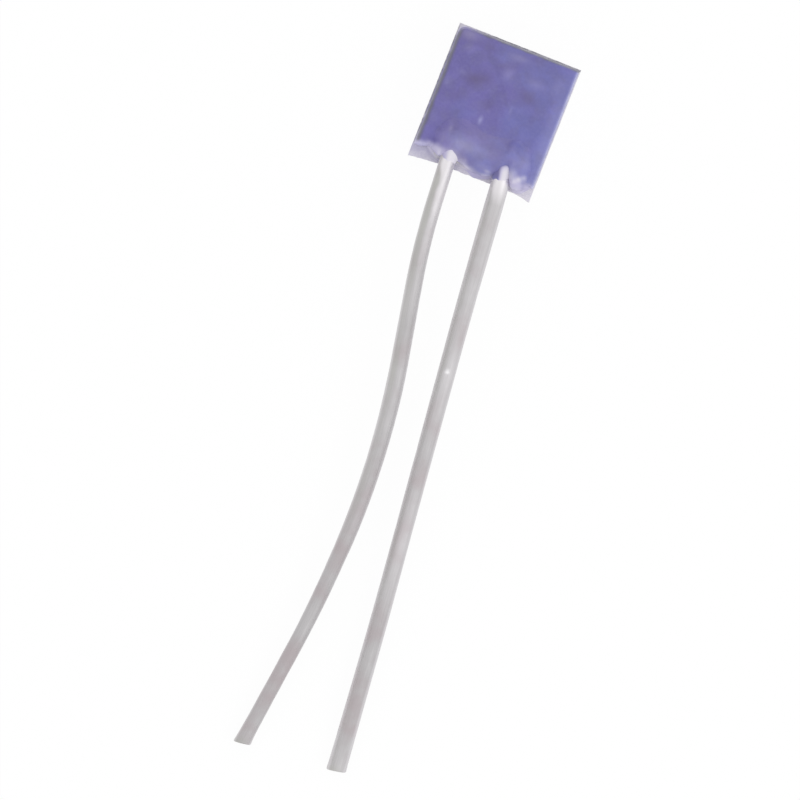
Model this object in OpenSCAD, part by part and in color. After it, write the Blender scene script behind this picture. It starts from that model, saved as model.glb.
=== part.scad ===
// Thin-film platinum resistance thermometer chip with two wire leads, in millimetres.
// The chip lies on its back, glazed face up, with the middle of its underside at the origin.
// The leads run towards -Y and droop until their tips touch the surface that the chip lies on.

/* [Ceramic substrate] */
// Width of the alumina substrate
substrate_w = 2.1; // [1.8:0.05:3]
// Length of the substrate, along the leads
substrate_l = 2.3; // [2.1:0.05:4]
// Thickness of the substrate
substrate_t = 0.6; // [0.4:0.05:0.9]
// How far the snapped edge at the leads is broken back between its corners
snap_depth = 0.06; // [0.02:0.01:0.12]
// Length of the unbroken corner at the left of that edge
snap_left = 0.5; // [0.1:0.05:0.6]
// Length of the unbroken corner at the right of that edge
snap_right = 0.35; // [0.1:0.05:0.6]

/* [Platinum film] */
// Thickness of the film, drawn heavier than the real micrometre
film_t = 0.01; // [0.005:0.005:0.03]
// Width of the meander's track
track_w = 0.05; // [0.03:0.005:0.07]
// Gap between two runs of the track
track_gap = 0.04; // [0.03:0.005:0.06]
// Bare rim between the meander and the long edges of the substrate
film_rim = 0.2; // [0.15:0.05:0.4]
// Distance from the meander to the end of the substrate away from the leads
film_end = 0.25; // [0.15:0.05:0.5]
// Distance from the meander to the contact pads
film_to_pad = 0.3; // [0.2:0.05:0.5]

/* [Contact pads] */
// Width of each printed contact pad
pad_w = 0.46; // [0.4:0.02:0.56]
// Length of each pad
pad_l = 0.5; // [0.4:0.05:0.6]
// Thickness of each pad
pad_t = 0.03; // [0.01:0.005:0.05]
// Distance from the pads to the snapped edge's corners
pad_inset = 0.18; // [0.15:0.01:0.3]

/* [Cover glass] */
// Thickness of the blue glass over the film
glass_t = 0.25; // [0.15:0.01:0.35]
// Ledge of bare ceramic left along the sides and the end
glass_ledge = 0.02; // [0.01:0.005:0.1]
// Width of the rolled edge along the left side
roll_left = 0.08; // [0.03:0.01:0.12]
// Width of the rolled edge along the right side
roll_right = 0.04; // [0.03:0.01:0.12]
// Width of the rolled edge at the end away from the leads
roll_end = 0.05; // [0.03:0.01:0.12]
// Cut across the left corner at that end, where the glass ran thin
thin_corner = 0.1; // [0.04:0.01:0.3]
// Bare ceramic between the snapped edge's corners and the glass at the left
bare_left = 0.3; // [0.2:0.01:0.4]
// Bare ceramic there between the leads
bare_middle = 0.18; // [0.14:0.01:0.3]
// Bare ceramic there at the right
bare_right = 0.24; // [0.15:0.01:0.4]
// Room round each pad in the glass
pad_window = 0.04; // [0.02:0.01:0.06]

/* [Fixing bead] */
// Height of the glass bead over the welds, above the substrate
bead_h = 0.5; // [0.44:0.01:0.7]
// How much lower the bead is between the leads
bead_saddle = 0.08; // [0:0.01:0.12]
// How far the bead laps over the cover glass behind the pads
bead_lap = 0.22; // [0.18:0.01:0.26]
// How deep below the face of that glass the bead's back edge starts
bead_dip = 0.03; // [0.02:0.01:0.06]
// How far the bead runs out past the pads towards the snapped edge
bead_runout = 0.06; // [0.04:0.01:0.1]
// How far the bead reaches past the left pad
bead_wing = 0.16; // [0.14:0.01:0.2]
// How far the bead's front draws back over the left lead
left_draw = 0.13; // [0.04:0.01:0.18]
// How far the bead's front draws back over the right lead
right_draw = 0.23; // [0.04:0.01:0.26]
// Fullness of the bead's front, from a round dome at 2 to a flat-topped one at 4
bead_fullness = 2.6; // [2:0.1:4]

/* [Leads] */
// Diameter of the wire
wire_d = 0.28; // [0.2:0.01:0.3]
// Length of the tail that is flattened on the pad by the weld
weld_l = 0.34; // [0.25:0.01:0.4]
// Width of the flattened tail
weld_w = 0.36; // [0.32:0.01:0.38]
// Thickness of the flattened tail
weld_t = 0.17; // [0.12:0.01:0.2]
// Lift of the round wire above the pad
wire_lift = 0.015; // [0.005:0.005:0.03]
// Distance from the end of each tail to the snapped edge's corners
root_inset = 0.57; // [0.5:0.01:0.66]
// Straight run from the end of the tail to the bend where the wire droops
root_run = 0.56; // [0.5:0.01:1]
// Radius of that bend
droop_radius = 5; // [2:0.5:12]
// How much thinner the wire is drawn out in its bends
bend_thinning = 0.004; // [0.002:0.001:0.01]

/* [Left lead] */
// Distance of the left tail from the middle of the chip
left_root = 0.45; // [0.4:0.01:0.6]
// Angle at which the left lead leaves the chip
left_heading = 4; // [0:0.5:6]
// Straight run before the first bend
left_run0 = 0.15; // [0.1:0.05:2]
// Radius of the first bend, to the right
left_r1 = 12; // [6:1:40]
// Angle of the first bend
left_a1 = 7; // [2:0.5:12]
// Straight run after the first bend
left_run1 = 1.2; // [0.2:0.1:2]
// Radius of the second bend, to the left
left_r2 = 14; // [6:1:40]
// Angle of the second bend
left_a2 = 14; // [4:0.5:20]
// Straight run after the second bend
left_run2 = 0.3; // [0.1:0.1:2]
// Radius of the third bend, to the left
left_r3 = 19; // [8:1:40]
// Angle of the third bend
left_a3 = 4; // [1:0.5:8]
// Straight run to the left tip
left_tip = 1.7; // [1:0.05:4]

/* [Right lead] */
// Distance of the right tail from the middle of the chip
right_root = 0.46; // [0.4:0.01:0.6]
// Angle at which the right lead leaves the chip
right_heading = 5.5; // [0:0.5:8]
// Straight run before the first bend
right_run0 = 0.95; // [0.2:0.05:3]
// Radius of the first bend, to the right
right_r1 = 100; // [40:5:150]
// Angle of the first bend
right_a1 = 0.8; // [0.4:0.1:3]
// Straight run after the first bend
right_run1 = 4; // [1:0.1:5]
// Radius of the second bend, to the left
right_r2 = 90; // [40:5:150]
// Angle of the second bend
right_a2 = 0.8; // [0.4:0.1:3]
// Straight run to the right tip
right_tip = 1.8; // [1:0.05:4]

/* [Hidden] */
$fn = 48;

ceramic = [0.87, 0.86, 0.87];
platinum = [0.62, 0.61, 0.60];
pad_metal = [0.74, 0.70, 0.62];
blue_glass = [0.47, 0.44, 0.67];
bead_glass = [0.49, 0.48, 0.71];
wire_metal = [0.76, 0.75, 0.75];

half_w = substrate_w / 2;
half_l = substrate_l / 2;
film_top = substrate_t + film_t;
pad_top = film_top + pad_t;
wire_r = wire_d / 2;
wire_z = pad_top + wire_lift + wire_r;
root_y = root_inset - half_l;
pad_end_y = pad_inset - half_l;
pad_mid_y = pad_end_y + pad_l / 2;

// Middle of each pad, under the middle of its tail
left_pad_x = -left_root + weld_l / 2 * tan(left_heading);
right_pad_x = right_root + weld_l / 2 * tan(right_heading);

// Meander of the film: an even number of runs brings both ends back to the pads
track_pitch = track_w + track_gap;
run_count = 2 * floor((substrate_w - 2 * film_rim + track_gap) / track_pitch / 2);
meander_top = half_l - film_end - track_w / 2;
meander_foot = pad_end_y + pad_l + film_to_pad + track_w / 2;
function run_x(i) = (i - (run_count - 1) / 2) * track_pitch;
meander = [
  for (i = [0:run_count - 1])
    let (up = i % 2 == 0, lower = i == 0 || i == run_count - 1 ? meander_foot - track_pitch : meander_foot)
      for (y = up ? [lower, meander_top] : [meander_top, lower]) [run_x(i), y]
];
film_route = concat(
  [[left_pad_x, pad_mid_y], [left_pad_x, meander_foot - track_pitch]],
  meander,
  [[right_pad_x, meander_foot - track_pitch], [right_pad_x, pad_mid_y]]
);

// Outline of a track of width w along a route of right-angled turns
function unit(v) = v / norm(v);
function left_of(d) = [-d[1], d[0]];
function heading_in(route, i) = unit(route[max(i, 1)] - route[max(i, 1) - 1]);
function heading_out(route, i) = unit(route[min(i, len(route) - 2) + 1] - route[min(i, len(route) - 2)]);
function side(route, offset) = [
  for (i = [0:len(route) - 1])
    let (a = left_of(heading_in(route, i)), b = left_of(heading_out(route, i)))
      route[i] + offset * (norm(a - b) < 0.5 ? a : a + b)
];
function backwards(list) = [for (i = [len(list) - 1:-1:0]) list[i]];
function track(route, w) = concat(side(route, w / 2), backwards(side(route, -w / 2)));

// Points of an arc from one angle to another
function arc(centre, r, from, to, steps = 5) = [
  for (i = [0:steps]) let (a = from + (to - from) * i / steps) centre + r * [cos(a), sin(a)]
];

// Steps of each lead after its droop: straight run, bend radius, bend angle towards +X
left_steps = [
  [left_run0, left_r1, left_a1],
  [left_run1, left_r2, -left_a2],
  [left_run2, left_r3, -left_a3],
  [left_tip]
];
right_steps = [
  [right_run0, right_r1, right_a1],
  [right_run1, right_r2, -right_a2],
  [right_tip]
];
bend_seat = 0.03;
function turned(steps, i) = i == 0 ? 0 : turned(steps, i - 1) + steps[i - 1][2];
function forward(steps, i = 0) =
  i == len(steps) - 1 ? steps[i][0] * cos(turned(steps, i))
  : steps[i][0] * cos(turned(steps, i))
    + steps[i][1] * abs(sin(turned(steps, i + 1)) - sin(turned(steps, i)))
    + forward(steps, i + 1);

// Slope at which a lead's tip just touches the surface that the chip lies on
function droop(steps) =
  let (reach = forward(steps), across = wire_r - droop_radius)
    asin((wire_z - droop_radius) / norm([reach, across])) - atan2(across, reach);

// Sections of the fixing bead from left to right: place, back edge, front edge and height
bead_back_y = pad_end_y + pad_l + bead_lap;
bead_front_y = pad_end_y - bead_runout;
bead_left = left_pad_x - pad_w / 2 - bead_wing;
bead_right = half_w - glass_ledge - roll_right;
left_wire_x = -left_root + (root_y - bead_front_y) * tan(left_heading);
right_wire_x = right_root + (root_y - bead_front_y) * tan(right_heading);
wire_flank = 1.2 * wire_r;
low_h = 0.68 * bead_h;
shoulder_h = 0.92 * bead_h;
lobe = pad_l / 10;
bead_marks = [
  [bead_left, pad_mid_y + 3 * lobe, pad_mid_y - 2 * lobe, glass_t / 2],
  [bead_left + lobe, bead_back_y - lobe, bead_front_y + 3 * lobe, low_h],
  [left_wire_x - wire_flank, bead_back_y - lobe / 2, bead_front_y + lobe, shoulder_h],
  [left_wire_x, bead_back_y, bead_front_y + left_draw, bead_h],
  [left_wire_x + wire_flank, bead_back_y, bead_front_y + 1.5 * lobe, shoulder_h],
  [(left_wire_x + right_wire_x) / 2, bead_back_y - lobe, bead_front_y, bead_h - bead_saddle],
  [right_wire_x - wire_flank, bead_back_y - lobe / 2, bead_front_y + lobe, shoulder_h],
  [right_wire_x, bead_back_y, bead_front_y + right_draw, bead_h],
  [right_wire_x + wire_flank, bead_back_y - lobe / 2, bead_front_y, shoulder_h],
  [bead_right - 2.5 * lobe, bead_back_y - lobe, bead_front_y + lobe / 2, low_h],
  [bead_right, pad_mid_y + 3 * lobe, bead_front_y + 3 * lobe, glass_t / 2]
];
// Steps from one mark to the next, and facets over the bead
bead_between = 4;
bead_arch = 14;
// Place of the crest between the front and the back, and depth of the bead's root
bead_crest = 0.44;
bead_root = 0.05;
// How far below the substrate's face the rooms in the bead are cut
cut_below = 0.1;

// Smooth curve through the marks, held at its ends
function curve_point(p0, p1, p2, p3, t) =
  0.5 * ((2 * p1) + (p2 - p0) * t + (2 * p0 - 5 * p1 + 4 * p2 - p3) * t * t
  + (3 * p1 - p0 - 3 * p2 + p3) * t * t * t);
function open_curve(marks, between) = let (last = len(marks) - 1) concat(
  [for (i = [0:last - 1], k = [0:between - 1])
    curve_point(marks[max(i - 1, 0)], marks[i], marks[i + 1], marks[min(i + 2, last)], k / between)],
  [marks[last]]
);
bead_sections = open_curve(bead_marks, bead_between);

// One section of the bead, rooted below its foot: a long back slope that leaves the face of the glass
// softly, a crest, and a full round front
function bead_section(mark) =
  let (
    x = mark[0], front = mark[2], h = mark[3], power = 2 / bead_fullness,
    crest = front + bead_crest * (mark[1] - front), foot = min(glass_t - bead_dip, h / 2), half = bead_arch / 2
  ) concat(
    [[x, mark[1], -bead_root]],
    [for (k = [0:half - 1]) let (t = 1 - k / half)
      [x, crest + (mark[1] - crest) * t, foot + (h - foot) * (1 + cos(180 * t)) / 2]],
    [for (k = [0:half]) let (a = 90 * k / half)
      [x, crest - (crest - front) * pow(sin(a), power), h * pow(cos(a), power)]],
    [[x, front, -bead_root]]
  );

// Straight piece of wire from the origin towards -Y
module wire_run(length) {
  rotate([90, 0, 0]) cylinder(d = wire_d, h = length);
}

// Bend of the wire from the origin, which heads towards -Y and turns by angle towards +X,
// and which reaches a little into the straight runs before and after it
module wire_bend(radius, angle) {
  seat = bend_seat / radius * 180 / PI;
  translate([sign(angle) * radius, 0, 0])
    rotate([0, 0, (angle > 0 ? 180 : angle) - seat])
      rotate_extrude(angle = abs(angle) + 2 * seat)
        translate([radius, 0]) circle(d = wire_d - bend_thinning);
}

// The rest of a lead from step i on
module wire_steps(steps, i = 0) {
  run = steps[i][0];
  if (run > 0) wire_run(run);
  if (i < len(steps) - 1) {
    radius = steps[i][1];
    angle = steps[i][2];
    translate([0, -run, 0]) {
      wire_bend(radius, angle);
      translate([sign(angle) * radius * (1 - cos(angle)), -radius * sin(abs(angle)), 0])
        rotate([0, 0, angle]) wire_steps(steps, i + 1);
    }
  }
}

// One lead: a tail flattened on its pad, the round wire out of the glaze, its droop and its bends
module lead(root_x, heading, steps) {
  slope = droop(steps);
  translate([root_x, root_y, 0]) rotate([0, 0, heading]) {
    intersection() {
      translate([0, 0, pad_top + weld_t / 2]) rotate([90, 0, 0]) cylinder(d = weld_w, h = weld_l);
      translate([-weld_w, -2 * weld_l, pad_top]) cube([2 * weld_w, 3 * weld_l, weld_t]);
    }
    translate([0, 0, wire_z]) {
      translate([0, -weld_l / 2, 0]) wire_run(root_run - weld_l / 2);
      translate([0, -root_run, 0]) {
        rotate([0, 90, 0]) wire_bend(droop_radius, slope);
        translate([0, -droop_radius * sin(slope), -droop_radius * (1 - cos(slope))])
          rotate([slope, 0, 0]) wire_steps(steps);
      }
    }
  }
}

module pad(x) {
  translate([x - pad_w / 2, pad_end_y, film_top]) cube([pad_w, pad_l, pad_t]);
}

// Opening of the cover glass round a pad, out to the glass's own edge
module window(x) {
  wide = pad_w + 2 * pad_window;
  translate([x - wide / 2, -half_l, 0]) square([wide, pad_inset + pad_l + pad_window]);
}

module ceramic_substrate() {
  color(ceramic) linear_extrude(substrate_t) polygon([
    [-half_w, half_l],
    [-half_w, -half_l],
    [-half_w + snap_left, -half_l + snap_depth],
    [half_w - snap_right, -half_l + snap_depth],
    [half_w, -half_l],
    [half_w, half_l]
  ]);
}

module platinum_film() {
  color(platinum) translate([0, 0, substrate_t]) {
    linear_extrude(film_t) polygon(track(film_route, track_w));
    for (x = [left_pad_x, right_pad_x])
      translate([x - pad_w / 2, pad_end_y, 0]) cube([pad_w, pad_l, film_t]);
  }
}

module left_pad() {
  color(pad_metal) pad(left_pad_x);
}

module right_pad() {
  color(pad_metal) pad(right_pad_x);
}

// Glass from above, with its thin corner, its ragged edge at the leads and the openings for the pads
module glass_outline() {
  edge_w = half_w - glass_ledge;
  edge_l = half_l - glass_ledge;
  difference() {
    polygon([
      [-edge_w, edge_l - thin_corner],
      [-edge_w + thin_corner, edge_l],
      [edge_w, edge_l],
      [edge_w, -half_l + bare_right],
      [right_pad_x + pad_w / 2, -half_l + 0.9 * bare_right],
      [right_pad_x - pad_w / 2, -half_l + bare_middle],
      [left_pad_x + pad_w / 2, -half_l + bare_middle],
      [left_pad_x - pad_w / 2, -half_l + bare_left],
      [-edge_w, -half_l + 0.9 * bare_left]
    ]);
    window(left_pad_x);
    window(right_pad_x);
  }
}

// Glass from the leads' end, with its rolled sides
module glass_across() {
  edge_w = half_w - glass_ledge;
  polygon(concat(
    [[-edge_w, 0]],
    arc([-edge_w + roll_left, glass_t - roll_left], roll_left, 180, 90),
    arc([edge_w - roll_right, glass_t - roll_right], roll_right, 90, 0),
    [[edge_w, 0]]
  ));
}

// Glass from the right, with its rolled end
module glass_along() {
  edge_l = half_l - glass_ledge;
  polygon(concat(
    [[-half_l, 0], [-half_l, glass_t]],
    arc([edge_l - roll_end, glass_t - roll_end], roll_end, 90, 0),
    [[edge_l, 0]]
  ));
}

module cover_glass() {
  color(blue_glass) difference() {
    translate([0, 0, substrate_t]) intersection() {
      linear_extrude(glass_t) glass_outline();
      translate([0, substrate_l, 0]) rotate([90, 0, 0]) linear_extrude(2 * substrate_l) glass_across();
      translate([-substrate_w, 0, 0]) rotate([90, 0, 90]) linear_extrude(2 * substrate_w) glass_along();
    }
    platinum_film();
  }
}

// Room that the substrate takes up under the bead
module substrate_room() {
  translate([-substrate_w, -substrate_l, 0]) cube([2 * substrate_w, 2 * substrate_l, substrate_t]);
}

// Room that the cover glass takes up in the bead
module glass_room() {
  translate([0, 0, substrate_t - cut_below]) linear_extrude(glass_t + cut_below) glass_outline();
}

// Room that a pad and the end of the track take up in the bead
module pad_room(x) {
  translate([x - pad_w / 2, pad_end_y, substrate_t - cut_below])
    cube([pad_w, pad_l, film_t + pad_t + cut_below]);
  translate([x - track_w / 2, pad_mid_y, substrate_t - cut_below])
    cube([track_w, pad_l / 2 + 2 * pad_window, film_t + cut_below]);
}

// Solid bead through its sections, before the pieces that it lies on and holds are taken out of it
module bead_body() {
  n = len(bead_section(bead_marks[0]));
  last = len(bead_sections) - 1;
  skin = [
    for (i = [0:last - 1], j = [0:n - 1])
      let (a = i * n + j, b = i * n + (j + 1) % n) each [[a, a + n, b], [b, a + n, b + n]]
  ];
  left_end = [for (j = [0:n - 1]) j];
  right_end = [for (j = [n - 1:-1:0]) last * n + j];
  translate([0, 0, substrate_t])
    polyhedron([for (mark = bead_sections, p = bead_section(mark)) p], concat(skin, [left_end, right_end]));
}

module fixing_bead() {
  color(bead_glass) difference() {
    bead_body();
    substrate_room();
    glass_room();
    pad_room(left_pad_x);
    pad_room(right_pad_x);
    left_lead();
    right_lead();
  }
}

module left_lead() {
  color(wire_metal) lead(-left_root, left_heading, left_steps);
}

module right_lead() {
  color(wire_metal) lead(right_root, right_heading, right_steps);
}

ceramic_substrate();
platinum_film();
left_pad();
right_pad();
cover_glass();
fixing_bead();
left_lead();
right_lead();
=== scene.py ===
import math
from types import SimpleNamespace

import bmesh
import bpy
import numpy as np
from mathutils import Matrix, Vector, noise


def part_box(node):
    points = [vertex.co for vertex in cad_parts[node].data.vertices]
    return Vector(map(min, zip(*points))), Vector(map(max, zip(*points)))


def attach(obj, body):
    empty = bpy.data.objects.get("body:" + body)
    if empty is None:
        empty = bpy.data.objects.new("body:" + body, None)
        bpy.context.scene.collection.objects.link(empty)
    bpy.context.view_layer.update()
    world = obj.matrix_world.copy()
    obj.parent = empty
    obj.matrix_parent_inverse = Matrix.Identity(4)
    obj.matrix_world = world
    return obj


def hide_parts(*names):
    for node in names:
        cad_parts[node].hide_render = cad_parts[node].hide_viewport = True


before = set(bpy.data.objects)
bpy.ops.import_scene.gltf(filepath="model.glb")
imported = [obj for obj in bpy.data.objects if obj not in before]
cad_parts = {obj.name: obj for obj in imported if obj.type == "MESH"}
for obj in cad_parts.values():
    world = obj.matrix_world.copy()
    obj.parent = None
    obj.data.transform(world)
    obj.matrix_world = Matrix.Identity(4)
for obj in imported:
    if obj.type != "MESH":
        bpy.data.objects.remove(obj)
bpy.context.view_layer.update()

# All shapes below are worked out in millimetres and turned to metres when their mesh is made
MM = 0.001


def node_box(node):
    """Lowest and highest corner of a piece of the frame, in millimetres."""
    low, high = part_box(node)
    return np.array(low) / MM, np.array(high) / MM


plate_low, plate_high = node_box("ceramic_substrate")
glass_low, glass_high = node_box("cover_glass")
pad_boxes = [node_box("left_pad"), node_box("right_pad")]
plate_top = plate_high[2]
pad_top = pad_boxes[0][1][2]
pad_end_y = pad_boxes[0][0][1]
pad_back_y = pad_boxes[0][1][1]
pad_mid_y = (pad_end_y + pad_back_y) / 2

# Ceramic plate: the snapped edge lies back between its two corners
SNAP_DEPTH = 0.045
SNAP_LEFT = 0.5
SNAP_RIGHT = 0.3
CORNER_EASE = 0.12
OUTLINE_STEP = 0.02
PLATE_BEVEL = 0.012
CHIP_BAND = 0.06
WALL_RINGS = 12
# How far in a sawn and a torn side wander, fall back below their top and are chipped at their foot
SAWN_SIDE = (0.004, 0.002, 0.025)
TORN_SIDE = (0.015, 0.03, 0.05)

# Cover glass: the widths of its rolled edges, and how far it laps over the pads round their windows
GLASS_THICKNESS = glass_high[2] - plate_top
ROLL_LEFT = 0.1
ROLL_RIGHT = 0.05
ROLL_END = 0.06
ROLL_FRONT = 0.1
WINDOW_LAP = 0.02
# Share of its height left at its thin far left corner, and the distances over which it rises from there
CORNER_HEIGHT = 0.06
CORNER_RISE = (0.04, 0.16)
COLUMN_STEP = 0.014
FRONT_ROWS, FACE_ROWS = 24, 110
# Front edge of the glass at the leads' end, as places across and along
FRONT_EDGE = [(-1.04, -0.95), (-0.95, -0.94), (-0.8, -0.9), (-0.6, -0.88), (-0.3, -0.95), (0.2, -0.97),
              (0.74, -0.94), (1.04, -0.92)]
# Edge of the full blue glass towards the leads: below it the glass has run thin and pale
BLUE_EDGE = [(-1.05, -0.82), (-0.8, -0.77), (-0.65, -0.79), (-0.5, -0.83), (-0.38, -0.87), (-0.15, -0.85),
             (-0.05, -0.93), (0.15, -0.98), (0.3, -0.94), (0.45, -0.88), (0.6, -0.79), (0.72, -0.79),
             (0.85, -0.84), (1.05, -0.86)]
# How far the paling starts above that edge and is full below it
PALING_START, PALING_REACH = 0.05, 0.16

# Leads, as wires bent from one straight root
WIRE_RADIUS = 0.14
WIRE_LIFT = 0.015
WIRE_SIDES = 48
RING_SPACING = 0.04
ROOT_INSET = 0.57
ROOT_RUN = 0.56
ROOT_STEPS = 14
DROOP_RADIUS = 5
DROOP_STEPS = 8
TAIL_LENGTH = 0.34
TAIL_WIDTH = 0.36
TAIL_THICKNESS = 0.17
TIP_ROUNDING = 0.022
WIRE_Z = pad_top + WIRE_LIFT + WIRE_RADIUS
ROOT_Y = plate_low[1] + ROOT_INSET
# Painted reflection: how bright the outermost edges are painted, where the wire mirrors the white floor at a
# grazing angle
EDGE_SHEEN = 0.5
# Each lead has:
# - the place and heading in degrees of its root, its bends as (straight run before it, radius, angle), the
#   run to its tip and the slant of its cut end
# - its widths in plan at shares of its length, against the drawn wire's
# - how strong the painted shade down its left flank and the painted sheen down its right one are, at
#   distances along it, how far across the painted shade reaches in wire radii, and small nicks painted as
#   bright glints, as distance along, place across in wire radii and radius
# - how far the bead's front draws back at it
# - the collar of glass drawn out round it: start, reach and thickness, how much sooner it ends on the right
#   (or on the left, where below zero) and how thin it has run on the left
LEFT = SimpleNamespace(
    root_x=-0.45, heading=4, bends=[(0.15, 12, 7), (1.2, 14, -14), (0.3, 19, -4)], tip_run=1.7, cut=0.25,
    widths=[(0, 0.93), (0.15, 0.94), (0.4, 1.03), (0.62, 0.96), (0.8, 0.86), (0.95, 0.87), (1, 0.95)],
    shade=[(0.45, 0.1), (0.75, 1), (1.7, 1), (2.6, 0.5), (3.2, 0.3), (3.9, 0.8), (4.5, 0.3), (5.3, 0.2),
           (5.8, 0.5), (6.4, 0.3), (6.9, 0)],
    sheen=[(0.3, 1), (0.7, 0.75), (1.2, 0.6), (1.5, 0.35), (2.6, 0.1), (3.2, 0), (3.9, 0.15), (4.5, 0.12),
           (5.5, 0), (6.4, 0.1), (7, 0)],
    shade_to=0.05, nicks=[], bead_draw=0.13,
    collar_start=0.05, collar_reach=0.46, collar_glass=0.2, collar_skew=-0.25, collar_thin=0.75)
RIGHT = SimpleNamespace(
    root_x=0.46, heading=5.5, bends=[(0.95, 100, 0.8), (4, 90, -0.8)], tip_run=1.8, cut=0.1,
    widths=[(0, 1.0), (0.08, 1.1), (0.3, 1.04), (0.6, 1.0), (0.85, 1.05), (1, 1.12)],
    shade=[(0.45, 0.2), (0.7, 0.45), (3.7, 0.5), (4.3, 0.3), (5.5, 0.2), (6.3, 0.4), (7.5, 0.3), (8, 0.1),
           (10, 0.2)],
    sheen=[(0.4, 1), (0.6, 0.7), (0.8, 0.15), (3, 0.15), (3.7, 0.3), (4.4, 0.15), (5.2, 0.05), (6.5, 0.3),
           (7.1, 0.15), (7.8, 0), (9.5, 0), (10.3, 0.1)],
    shade_to=-0.2, nicks=[(3.6, 0.05, 0.06)], bead_draw=0.23,
    collar_start=0.0, collar_reach=0.52, collar_glass=0.19, collar_skew=0.25, collar_thin=0.1)
COLLAR_STEPS = 24

# Fixing bead
BEAD_HEIGHT = 0.5
BEAD_SADDLE = 0.08
BEAD_LAP = 0.22
BEAD_DIP = 0.03
BEAD_RUNOUT = 0.06
BEAD_WING = 0.16
BEAD_RIGHT_ROOM = 0.04
BEAD_FULLNESS = 2.6
BEAD_CREST = 0.44
BEAD_END = 0.88 * GLASS_THICKNESS
BEAD_SHOULDER = 0.26
BEAD_SKIRT = 0.05
BEAD_ROOT = 0.01
TOE_HEIGHT = 0.03
TOE_REACH = 0.07
SLOPE_STEPS, ARCH_STEPS, TOE_STEPS = 26, 26, 7
BETWEEN_SECTIONS = 14

# Spots on the glass: each has its place, its half width across and along, and its strength.
# Patches of the face fired duller and paler, and stretches that are brighter
DULL_PATCHES = [(-0.51, 0.38, 0.14, 0.1, 0.55), (-0.34, 0.45, 0.15, 0.1, 0.4), (-0.28, 0.66, 0.1, 0.14, 0.12),
                (0.36, 0.42, 0.15, 0.1, 0.3), (0.52, 0.36, 0.14, 0.08, 0.2), (-0.55, 0.2, 0.1, 0.1, 0.12),
                (0.6, 0.1, 0.06, 0.12, 0.2), (-0.9, 1.0, 0.2, 0.1, 0.3), (-0.45, 0.95, 0.25, 0.06, 0.2),
                (-0.15, 0.75, 0.1, 0.06, 0.2), (-0.15, 0.08, 0.11, 0.1, 0.35), (-0.69, 0.03, 0.1, 0.1, 0.3),
                (-0.9, 0.05, 0.07, 0.15, 0.15), (-0.7, -0.33, 0.1, 0.12, 0.2), (0.45, 0.5, 0.2, 0.2, 0.15),
                (0.3, 0.86, 0.14, 0.1, 0.18), (0.1, 1.02, 0.3, 0.07, 0.2), (-0.62, 0.32, 0.16, 0.12, 0.1),
                (0.35, 0.17, 0.12, 0.14, 0.12), (0.0, 1.1, 1.2, 0.5, 0.13)]
PALE_PATCHES = [(-0.02, 0.66, 0.12, 0.14, 0.16), (0.06, 0.96, 0.2, 0.08, 0.16), (0.44, 0.66, 0.16, 0.1, 0.14),
                (0.8, 0.75, 0.14, 0.2, 0.13), (-0.75, 0.82, 0.12, 0.1, 0.13), (-0.1, -0.02, 0.05, 0.05, 0.1)]
# The long stretch down the right edge is painted light from the right
BRIGHT_PATCHES = [(0.0, -0.42, 0.9, 0.14, 0.06), (0.97, -0.2, 0.12, 1.0, 0.12),
                  (-0.87, -0.92, 0.14, 0.06, 0.25), (0.93, -0.84, 0.1, 0.08, 0.12)]
# Pale spot near the far left corner, with its place measured in from there
CORNER_PALE = [(0.2, 0.1, 0.22, 0.12, 0.2)]
# Small blisters of the face: each has its height in millimetres before its paleness
BLISTERS = [(-0.17, -0.2, 0.034, 0.065, 0.006, 0.3), (0.23, 0.12, 0.025, 0.06, 0.004, 0.1),
            (-0.72, 0.42, 0.09, 0.05, 0.004, 0.07), (-0.9, 0.18, 0.06, 0.07, 0.004, 0.1),
            (-0.55, -0.45, 0.05, 0.04, 0.003, 0.1)]
BLISTER_HEIGHTS = [blister[:5] for blister in BLISTERS]
BLISTER_PALENESS = [blister[:4] + blister[5:] for blister in BLISTERS]
# Pale streaks of the bead, several of them painted highlights by the leads and on its front right, and darker
# places, the strongest a painted shadow in the crevice left of the right lead; and where its toe has stayed
# blue
BEAD_PALE = [(0.7, -0.92, 0.04, 0.04, 0.4), (0.76, -0.87, 0.045, 0.045, 0.6), (0.0, -0.42, 0.9, 0.12, 0.05),
             (0.83, -0.81, 0.045, 0.04, 0.35), (-0.75, -0.92, 0.1, 0.07, 0.2), (0.9, -0.86, 0.1, 0.07, 0.12),
             (0.9, -1.05, 0.14, 0.05, 0.35), (0.15, -0.9, 0.2, 0.06, 0.08), (-0.3, -0.68, 0.2, 0.12, 0.1),
             (0.24, -0.93, 0.05, 0.025, 0.25), (-0.12, -1.0, 0.08, 0.03, 0.45), (0.0, -0.66, 0.4, 0.16, 0.09),
             (-0.6, -0.92, 0.03, 0.08, 0.2), (-0.56, -0.5, 0.03, 0.06, 0.08), (0.75, -0.6, 0.16, 0.13, 0.09),
             (-0.62, -0.7, 0.1, 0.1, 0.04), (0.61, -0.84, 0.09, 0.1, 0.35), (-0.41, -0.88, 0.14, 0.08, 0.35)]
BEAD_DARK = [(0.37, -0.95, 0.06, 0.07, 0.8), (0.12, -0.91, 0.13, 0.06, 0.12), (-0.2, -0.9, 0.05, 0.05, 0.4)]
BLUE_TOES = [(0.12, 0, 0.25, 1, 0.45), (0.88, 0, 0.2, 1, 0.25), (-0.75, 0, 0.12, 1, 0.2)]

# Photograph's frame: middle of the picture on the part, its width and its turn
PICTURE_MIDDLE = (0.284, -4.865)
PICTURE_WIDTH = 12.89
PICTURE_TURN = 21.54
CAMERA_HEIGHT = 500

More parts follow.
